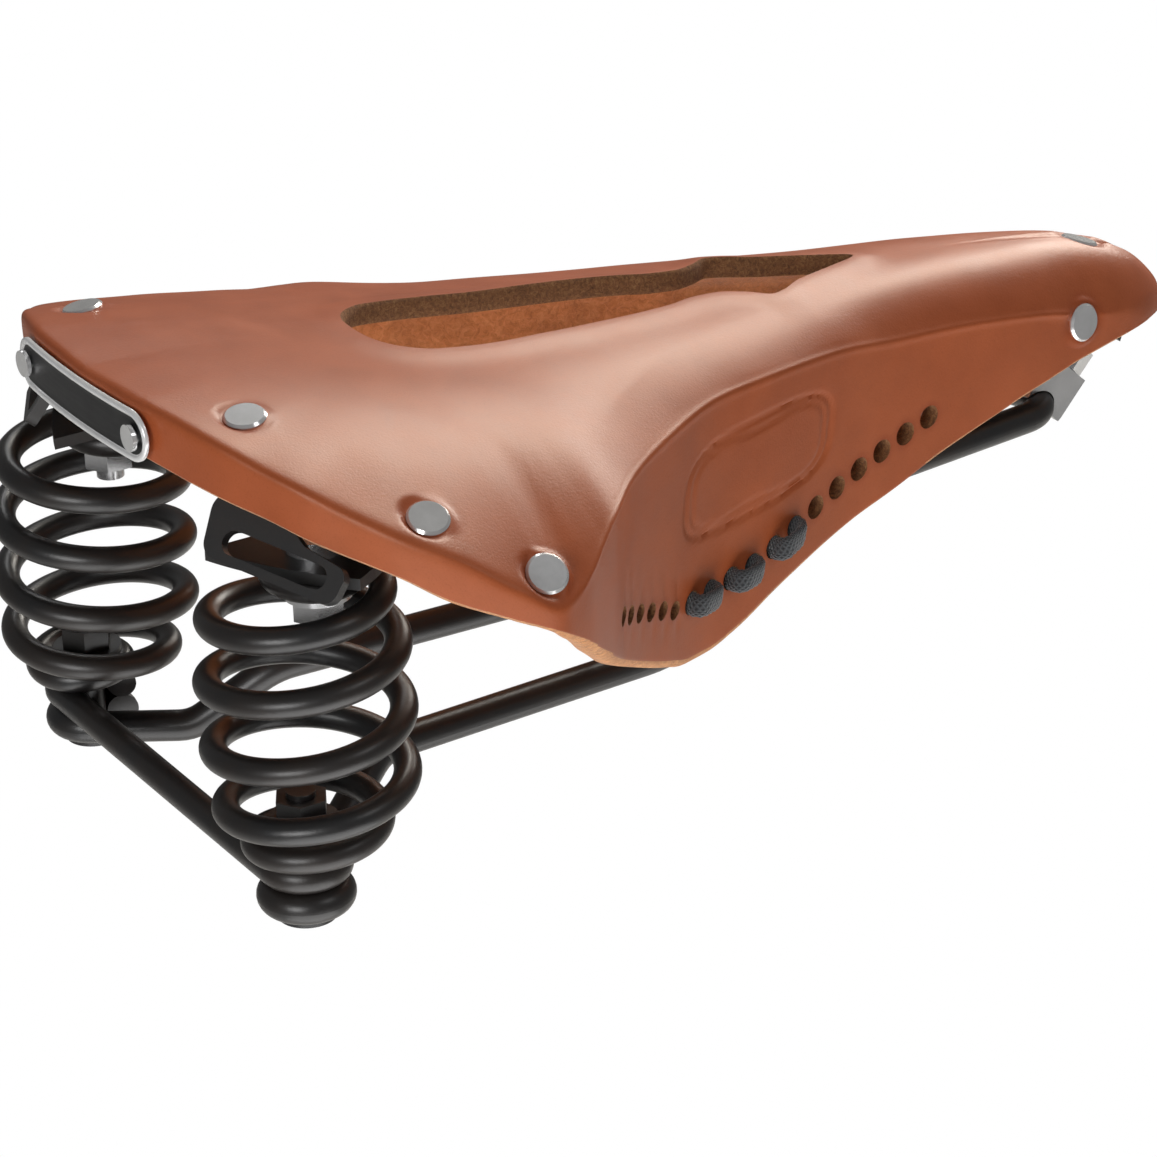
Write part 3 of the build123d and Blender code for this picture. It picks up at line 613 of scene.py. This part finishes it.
# Thin raised line along the side crease, plain pressed outline on both skirts, seats of the rivets
normals = grid_normals(outer)
side_part = smooth_step(-30, -15, outer[..., 0]) * (1 - smooth_step(140, 165, outer[..., 0]))
raised = 0.32 * np.exp(-((near_crease - 0.3) / 0.9) ** 2) * side_part
outer = outer + normals * raised[..., None]
panel_x = outer[..., 0] - 47.0 - 0.10 * (outer[..., 2] - 48.0)
panel_z = outer[..., 2] - 47.6 - 0.02 * (outer[..., 0] - 47.0)
ring = ((np.abs(panel_x) / 24.0) ** 3.4 + (np.abs(panel_z) / 10.6) ** 3.4) ** (1 / 3.4)
away = (ring - 1) * np.hypot(panel_x, panel_z) / np.maximum(ring, 1e-6)
pressed = 0.55 * np.exp(-(away / 0.75) ** 2) + 0.38 * np.exp(-((away + 2.3) / 0.65) ** 2)
pressed = pressed * smooth_step(4.0, 6.0, near_crease)
outer = outer - normals * pressed[..., None]
# Small pressed wrinkles above the rearmost holes
for k in range(FIRST_REAR_HOLE, HOLE_COUNT):
    point, out = holes[k]
    across = outer[..., 0] - point[0]
    high = outer[..., 2] - point[2]
    fold = np.exp(-(across / 0.9) ** 2) * np.exp(-((np.abs(high) - 4.5) / 3.0) ** 2)
    outer = outer - normals * (0.16 * fold * (near_crease > 4))[..., None]


def seat_weight(p, c, flat, ramp_to):
    d = np.linalg.norm(p - c, axis=-1)
    return 1 - smooth_step(flat, ramp_to, d)


SEAT_FLAT, SEAT_RAMP, SEAT_SINK = 4.6, 6.4, 0.3
all_seats = []
for point, out in seats:
    for side in ((1, -1) if abs(point[1]) > 0.01 else (1,)):
        c = np.array([point[0], side * point[1], point[2]])
        o = np.array([out[0], side * out[1], out[2]])
        all_seats.append((c, o / np.linalg.norm(o)))
for c, o in all_seats:
    near = np.linalg.norm(outer - c - ((outer - c) @ o)[..., None] * o, axis=-1) \
        + 1000 * (np.abs((outer - c) @ o) > 12)
    i, j = np.unravel_index(np.argmin(near), near.shape)
    level = float((outer[i, j] - c) @ o)
    spread = level * np.exp(-(np.linalg.norm(outer - outer[i, j], axis=-1) / 22.0) ** 2)
    outer = outer - spread[..., None] * o
    soft = soft - spread[..., None] * o
for p in (outer, soft):
    for c, o in all_seats:
        w = seat_weight(p, c, SEAT_FLAT, SEAT_RAMP)
        off = (p - c) @ o + SEAT_SINK
        p -= (off * w)[..., None] * o
noise = noise3(outer, 23.0, 1) * 0.12 + noise3(outer, 9.0, 2) * 0.04
outer = outer + normals * noise[..., None] * smooth_step(0, 0.05, np.abs(near_crease) / 60)[..., None]

# Narrow raw bevel along the cut lower edge
outer = outer - normals * (0.95 * np.clip(1.1 - from_edge, 0, 1.1))[..., None]
normals_soft = grid_normals(soft)
inner = soft - normals_soft * thickness
inner_cols = np.unique(np.concatenate([np.arange(0, n_out, 3), [n_out - 1]]))[::-1]


def edge_rows(start, end, along, bulges):
    """Rows that round an edge between two skins, pushed out along the surface."""
    along = along / np.maximum(np.linalg.norm(along, axis=1), 1e-9)[:, None]
    return [start + (end - start) * t + along * bulge for t, bulge in bulges]


lower_edge_rows = edge_rows(outer[:, -1], inner[:, inner_cols[0]], outer[:, -1] - outer[:, -3],
                            ((0.12, 0.55), (0.35, 0.75), (0.65, 0.75), (0.88, 0.55)))
opening_rows = edge_rows(inner[:, 0], outer[:, 0], outer[:, 0] - outer[:, 2],
                         ((0.12, 0.45), (0.35, 0.6), (0.65, 0.6), (0.88, 0.45)))
loop = np.concatenate([outer] + [r[:, None] for r in lower_edge_rows] + [inner[:, inner_cols]]
                      + [r[:, None] for r in opening_rows], axis=1)
n_loop = loop.shape[1]
faces = grid_faces(n_around, n_loop, close_rows=True, close_cols=True)
kinds = np.zeros(n_loop, int)
kinds[n_out - 1:n_out + 4] = 1
kinds[n_out + 4:n_out + 4 + len(inner_cols) - 1] = 2
kinds[n_out + 4 + len(inner_cols) - 1:] = 3
slots = np.tile(kinds, (n_around, 1))
slots[:, :n_out - 1][from_edge[:, 1:] < 1.0] = 1
slots = slots.reshape(-1)
leather = make_object("leather_seat", loop.reshape(-1, 3) * MM, faces, [LEATHER, CUT, SUEDE, BURNISHED], slots)
if leather.data.polygons[5].normal.z < 0:
    leather.data.flip_normals()

# ---------------------------------------------------------------- holes in the skirts
cutters = bmesh.new()
for k, (point, out) in enumerate(holes):
    hole_r = hole_radius(k)
    for side in (1, -1):
        c = Vector((point[0], side * point[1], point[2])) * MM
        o = Vector((out[0], side * out[1], out[2]))
        turn = o.to_track_quat("Z", "Y").to_matrix().to_4x4()
        bmesh.ops.create_cone(cutters, cap_ends=True, segments=28, radius1=hole_r * MM, radius2=hole_r * MM,
                              depth=22 * MM, matrix=Matrix.Translation(c) @ turn)
cutter_mesh = bpy.data.meshes.new("hole_cutters")
cutters.to_mesh(cutter_mesh)
cutters.free()
cutter = bpy.data.objects.new("hole_cutters", cutter_mesh)
scene.collection.objects.link(cutter)
cut = leather.modifiers.new("holes", "BOOLEAN")
cut.operation = "DIFFERENCE"
cut.solver = "EXACT"
cut.object = cutter
depsgraph = bpy.context.evaluated_depsgraph_get()
done = bpy.data.meshes.new_from_object(leather.evaluated_get(depsgraph))
leather.modifiers.clear()
old = leather.data
leather.data = done
bpy.data.meshes.remove(old)
bpy.data.objects.remove(cutter)
bpy.data.meshes.remove(cutter_mesh)

n_v = len(leather.data.vertices)
co = np.zeros(n_v * 3)
leather.data.vertices.foreach_get("co", co)
co = co.reshape(-1, 3) / MM
n_f = len(leather.data.polygons)
centre = np.zeros(n_f * 3)
leather.data.polygons.foreach_get("center", centre)
centre = centre.reshape(-1, 3) / MM
face_normal = np.zeros(n_f * 3)
leather.data.polygons.foreach_get("normal", face_normal)
face_normal = face_normal.reshape(-1, 3)
index = np.zeros(n_f, dtype=np.int32)
leather.data.polygons.foreach_get("material_index", index)
rim_dark = np.zeros(n_v)
for k, (point, out) in enumerate(holes):
    hole_r = hole_radius(k)
    for side in (1, -1):
        c = np.array([point[0], side * point[1], point[2]])
        o = np.array([out[0], side * out[1], 0.0])
        rel = centre - c
        deep = rel @ o
        radial = np.linalg.norm(rel - deep[:, None] * o, axis=1)
        index[(radial < hole_r + 0.15) & (np.abs(deep) < 11) & (np.abs(face_normal @ o) < 0.5)] = 3
        rel = co - c
        deep = rel @ o
        radial = np.linalg.norm(rel - deep[:, None] * o, axis=1)
        rim_dark = np.maximum(rim_dark, (1 - smooth_step(hole_r, hole_r + 1.8, radial)) * (np.abs(deep) < 9))
leather.data.polygons.foreach_set("material_index", index)
leather.data.set_sharp_from_angle(angle=math.radians(48))

# Painted shade in the hollow beside the crease; the colour is also darker round the rivets and round the holes
tree_pts = outer.reshape(-1, 3)
dist_mid = near_crease.reshape(-1)
tree = KDTree(len(tree_pts) // 2 + 1)
for k in range(0, len(tree_pts), 2):
    tree.insert(tree_pts[k], k)
tree.balance()
nearest = np.array([tree.find(v)[1] for v in co])
gap = dist_mid[nearest]
in_front = smooth_step(-45, -12, co[:, 0]) * (1 - smooth_step(100, 150, co[:, 0]))
# painted shade: a darker band just inside the crease, where the hollow falls into shade
hollow = np.exp(-((gap + 6.5) / 4.2) ** 2) * in_front * (gap < 0.5)
painted_shade_and_rings = 0.12 * hollow + 0.5 * rim_dark
for c, o in all_seats:
    d = np.linalg.norm(co - c, axis=1)
    painted_shade_and_rings = np.maximum(painted_shade_and_rings, 0.5 * (1 - smooth_step(4.5, 8.5, d)))
attr = leather.data.attributes.new("painted_shade_and_rings", "FLOAT", "POINT")
attr.data.foreach_set("value", np.clip(painted_shade_and_rings, 0, 1))
leather.data.update()
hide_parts("leather_top")
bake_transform(leather)

# ---------------------------------------------------------------- springs
turn_table = ([-1, -0.6, -0.2, 0, 0.25, 0.5, 0.75, 1.25, 2.5, 3.4, 3.8, 4.2, 4.6, 4.9, 5.8],
              [7.4, 7.4, 10.3, 12, 14.5, 16.5, 18, 19.3, 19.5, 19.2, 18, 16, 10.5, 7.4, 7.4])
rise_table = ([-1, -0.25, 0, 0.5, 1, 1.5, 2, 3, 3.5, 4, 4.4, 4.7, 5, 5.8],
              [0.5, 0.5, 1.2, 5, 10.6, 17.2, 24.2, 38.7, 45.4, 51.3, 54.6, 55.8, 56, 56])
radius_of = pchip(*turn_table)
height_of = pchip(*rise_table)
centre_x = pchip([-1, -0.3, 0.75, 3.9, 4.8, 6], [-73.2, -73.2, -70, -70, -65.4, -65.4])
centre_y = pchip([-1, -0.3, 4.8, 6], [49, 49, 46.6, 46.6])


SPRING_WIRE_RADIUS = 2.9


def spring(side, name):
    """Barrel spring along its table of turns; the right one mirrors the left."""
    n = np.linspace(-0.92, 5.62, 620)
    angle = np.radians(244 + 360 * n)
    r = radius_of(n)
    x = centre_x(n) + r * np.cos(angle)
    y = side * (centre_y(n) - r * np.sin(angle))
    return tube(name, np.column_stack([x, y, height_of(n)]), SPRING_WIRE_RADIUS, [WIRE], sides=28)


for side, name in ((1, "spring_left"), (-1, "spring_right")):
    piece = spring(side, name + "_wire")
    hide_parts(name)
    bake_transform(piece)

# ---------------------------------------------------------------- lace
def hole_point(k, side, depth, lift=0.0, back=0.0):
    point, out = holes[k]
    place = point + out * depth
    return (place[0] - back, side * place[1], place[2] + lift)


def crossing(k, side):
    point, out = holes[k]
    return (point[0] - 2.2 * out[0], side * (point[1] + 1.8), point[2])


far, deep = 1.8, -7.6
route = [hole_point(6, -1, deep), hole_point(6, -1, far), crossing(7, -1),
         crossing(7, 1), hole_point(6, 1, far), hole_point(6, 1, deep),
         hole_point(7, 1, -8.0, 5.6), hole_point(8, 1, deep), hole_point(8, 1, far),
         crossing(9, 1), crossing(9, -1), hole_point(8, -1, far),
         hole_point(8, -1, deep), hole_point(9, -1, -8.0, 5.6), hole_point(10, -1, deep),
         hole_point(10, -1, far), crossing(11, -1), crossing(11, 1),
         hole_point(10, 1, far), hole_point(10, 1, deep)]


def rounded_line(points, reach=3.4, spacing=0.7):
    """Line through the route with every corner cut to a smooth arc."""
    points = steps(points)
    out = [points[0]]
    for a, b, c in zip(points, points[1:], points[2:]):
        u, v = a - b, c - b
        lu, lv = np.linalg.norm(u), np.linalg.norm(v)
        r = min(reach, lu * 0.46, lv * 0.46)
        p, q = b + u / lu * r, b + v / lv * r
        for t in np.linspace(0, 1, 9):
            out.append((1 - t) ** 2 * p + 2 * t * (1 - t) * b + t * t * q)
    out.append(points[-1])
    out = np.array(out)
    arc = np.concatenate([[0], np.cumsum(np.linalg.norm(np.diff(out, axis=0), axis=1))])
    even = np.linspace(0, arc[-1], int(arc[-1] / spacing))
    return np.column_stack([np.interp(even, arc, out[:, k]) for k in range(3)]), arc[-1]


lace_line, lace_length = rounded_line(route)
tang = np.gradient(lace_line, axis=0)
tang /= np.linalg.norm(tang, axis=1)[:, None]
row = np.array([0.24, 0.0, 0.97])
wide = row - tang * (tang @ row)[:, None]
wide /= np.linalg.norm(wide, axis=1)[:, None]
flat = np.cross(tang, wide)
turns = np.linspace(0, 2 * math.pi, 28, endpoint=False)
oval_w = 2.55 * np.sign(np.cos(turns)) * np.abs(np.cos(turns)) ** 0.75
oval_t = 0.95 * np.sign(np.sin(turns)) * np.abs(np.sin(turns)) ** 0.8
along_mm = np.arange(len(lace_line)) * (lace_length / (len(lace_line) - 1))
ribs = 0.05 * np.sin(along_mm[:, None] * 2 * math.pi / 1.4 + turns[None, :] * 3)
body = lace_line[:, None, :] + wide[:, None, :] * (oval_w[None, :, None] * (1 + ribs[..., None])) \
    + flat[:, None, :] * (oval_t[None, :, None] * (1 + ribs[..., None]))
lace_faces = grid_faces(len(lace_line), len(turns), close_cols=True)
verts = body.reshape(-1, 3)
lace = make_object("lace_band", verts * MM, lace_faces, [LACE])
uv = lace.data.uv_layers.new(name="UVMap")
cols = len(turns)
loop_v = np.zeros(len(lace.data.loops), dtype=np.int32)
lace.data.loops.foreach_get("vertex_index", loop_v)
u = along_mm[loop_v // cols] / 5.0
v = (loop_v % cols) / cols * 2.4
face_first = loop_v.reshape(-1, 4) % cols
wraps = np.repeat((face_first.max(axis=1) - face_first.min(axis=1)) > cols / 2, 4)
v = np.where(wraps & (loop_v % cols == 0), 2.4, v)
uv.data.foreach_set("uv", np.column_stack([u, v]).astype(np.float32).reshape(-1))
for k, end_point in enumerate((lace_line[0], lace_line[-1])):
    ball = bmesh.new()
    bmesh.ops.create_icosphere(ball, subdivisions=4, radius=2.8 * MM)
    for vert in ball.verts:
        d = np.array(vert.co) / MM
        twist = math.atan2(d[0], d[2])
        swell = 1 + 0.10 * math.sin(3 * twist + 1.2 * d[1]) + 0.05 * math.sin(7 * twist - 2 * d[1])
        vert.co = Vector((end_point + d * swell) * MM)
    knot_mesh = bpy.data.meshes.new("lace_knot")
    ball.to_mesh(knot_mesh)
    ball.free()
    knot_mesh.materials.append(LACE)
    knot_mesh.polygons.foreach_set("use_smooth", np.full(len(knot_mesh.polygons), True))
    knot = bpy.data.objects.new("lace_knot_" + ("near", "far")[k], knot_mesh)
    scene.collection.objects.link(knot)
    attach(knot, "top")
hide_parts("skirt_lace")
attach(lace, "top")

# ---------------------------------------------------------------- badge
def arc_x(y):
    """Front of the badge, a shallow arc."""
    return -93.7 + 1.6 * (np.abs(y) / 28.5) ** 2


badge_z = 84.3
n_ring = 192


def slot_outline(inset):
    """Rounded-end outline in y and z, moved in by inset, starting at the middle of one end."""
    r = 5.5 - inset
    pts = []
    for k in range(n_ring):
        part, f = divmod(k / n_ring * 4 + 0.5, 1.0)
        part = int(part) % 4
        if part == 0:
            t = (f - 0.5) * math.pi
            pts.append((23.0 + r * math.cos(t), r * math.sin(t)))
        elif part == 1:
            pts.append((23.0 - 46.0 * f, r))
        elif part == 2:
            t = math.pi + (f - 0.5) * math.pi
            pts.append((-23.0 + r * math.cos(t), r * math.sin(t)))
        else:
            pts.append((-23.0 + 46.0 * f, -r))
    return steps(pts)


badge_rows = []
for inset, lift in ((0.35, -1.15), (0.0, -0.85), (0.0, -0.35), (0.12, -0.12), (0.4, 0.0), (0.95, 0.0),
                    (1.15, -0.10), (1.3, -0.38), (1.5, -0.42), (2.6, -0.42), (4.2, -0.42), (5.3, -0.42)):
    pts = slot_outline(inset)
    x = arc_x(pts[:, 0]) - lift
    badge_rows.append(np.column_stack([x, pts[:, 0], pts[:, 1] + badge_z]))
badge_verts = np.concatenate(badge_rows)
badge_faces = grid_faces(len(badge_rows), n_ring, close_cols=True)
badge_slots = [0 if i < 8 * n_ring else 1 for i in range(len(badge_faces))]
for first, kind in ((0, 0), ((len(badge_rows) - 1) * n_ring, 1)):
    for k in range(n_ring // 2):
        quad = (k, k + 1, (n_ring - k - 1) % n_ring, (n_ring - k) % n_ring)
        quad = tuple(dict.fromkeys(first + q for q in quad))
        badge_faces.append(quad)
        badge_slots.append(kind)
badge = make_object("badge_shield", badge_verts * MM, badge_faces, [RIM, BADGE], badge_slots)
badge_mesh = bmesh.new()
badge_mesh.from_mesh(badge.data)
bmesh.ops.recalc_face_normals(badge_mesh, faces=badge_mesh.faces)
badge_mesh.to_mesh(badge.data)
badge_mesh.free()
badge.data.set_sharp_from_angle(angle=math.radians(40))
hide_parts("badge_plate")
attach(badge, "top")

# ---------------------------------------------------------------- carried-over CAD nodes
finishes = {
    "rail_wire": WIRE, "cross_brace": WIRE, "lower_bolts": WIRE, "lower_nuts": WIRE,
    "lower_washers": WIRE, "cantle_plate": PLATE, "bag_loop_left": PLATE, "bag_loop_right": PLATE,
    "badge_rivets": NICKEL, "inner_rivets": NICKEL, "middle_rivets": NICKEL, "corner_rivets": NICKEL,
    "upper_bolts": BOLT, "upper_nuts": BOLT, "upper_washers": BOLT, "nose_shackle": BOLT,
    "nose_plate": PLATE, "nose_top_rivet": NICKEL, "nose_side_rivets": NICKEL,
    "tension_bolt": BOLT, "tension_nut": BOLT,
}
for node, mat in finishes.items():
    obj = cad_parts[node]
    if not obj.material_slots:
        obj.data.materials.append(mat)
    for slot in obj.material_slots:
        slot.material = mat

# ---------------------------------------------------------------- light, floor, world
world = bpy.data.worlds.new("studio")
scene.world = world
world.use_nodes = True
sky = world.node_tree
lit = sky.nodes["Background"]
lit.inputs["Color"].default_value = (1.0, 1.0, 1.0, 1)
lit.inputs["Strength"].default_value = 0.15
backdrop = sky.nodes.new("ShaderNodeBackground")
backdrop.inputs["Strength"].default_value = 1.0
backdrop.inputs["Color"].default_value = (1, 1, 1, 1)
seen = sky.nodes.new("ShaderNodeLightPath")
choose = sky.nodes.new("ShaderNodeMixShader")
sky.links.new(seen.outputs["Is Camera Ray"], choose.inputs[0])
sky.links.new(lit.outputs[0], choose.inputs[1])
sky.links.new(backdrop.outputs[0], choose.inputs[2])
sky.links.new(choose.outputs[0], sky.nodes["World Output"].inputs["Surface"])


def area_light(name, place, target, size, power, colour=(1, 1, 1)):
    data = bpy.data.lights.new(name, "AREA")
    data.shape = "RECTANGLE"
    data.size, data.size_y = size
    data.energy = power
    data.color = colour
    light = bpy.data.objects.new(name, data)
    scene.collection.objects.link(light)
    light.location = place
    aim = Vector(target) - Vector(place)
    light.rotation_euler = aim.to_track_quat("-Z", "Y").to_euler()
    return light


area_light("back_softbox", (0.88, 0.62, 1.15), (0.0, -0.03, 0.05), (0.6, 0.55), 15.5, (1.0, 0.955, 0.87))
area_light("low_softbox", (1.15, 0.62, 0.52), (0.0, -0.03, 0.05), (0.5, 0.4), 8.0, (1.0, 0.955, 0.87))
area_light("strip", (0.54, 1.10, 0.95), (-0.05, 0, 0.05), (0.3, 0.3), 1.2)
area_light("front_card", (0.5, -1.0, 1.0), (0.03, 0, 0.05), (0.4, 0.4), 1.5)
area_light("left_card", (-1.15, -0.85, 0.35), (-0.03, 0, 0.03), (0.7, 0.5), 9.0)
area_light("under_card", (-0.1, -0.3, -0.5), (0, 0, 0.05), (0.9, 0.9), 5.0)

floor_mesh = bpy.data.meshes.new("floor")
FLOOR_HALF, FLOOR_Z = 6, -0.6
floor_corners = [(x * FLOOR_HALF, y * FLOOR_HALF, FLOOR_Z) for x, y in ((-1, -1), (1, -1), (1, 1), (-1, 1))]
floor_mesh.from_pydata(floor_corners, [], [(0, 1, 2, 3)])
floor = bpy.data.objects.new("floor", floor_mesh)
scene.collection.objects.link(floor)
floor_mat, floor_nt, floor_bsdf = node_material("pale_floor")
floor_bsdf.inputs["Base Color"].default_value = (0.80, 0.80, 0.80, 1)
floor_bsdf.inputs["Roughness"].default_value = 0.9
glow = floor_nt.nodes.new("ShaderNodeEmission")
glow.inputs["Color"].default_value = (1, 1, 1, 1)
glow.inputs["Strength"].default_value = 1.0
path = floor_nt.nodes.new("ShaderNodeLightPath")
mix = floor_nt.nodes.new("ShaderNodeMixShader")
link(floor_nt, path.outputs["Is Camera Ray"], mix.inputs[0])
link(floor_nt, floor_bsdf.outputs[0], mix.inputs[1])
link(floor_nt, glow.outputs[0], mix.inputs[2])
link(floor_nt, mix.outputs[0], floor_nt.nodes["Material Output"].inputs["Surface"])
floor_mesh.materials.append(floor_mat)

scene.view_settings.view_transform = "Standard"
scene.view_settings.look = "None"
scene.view_settings.exposure = 0.0
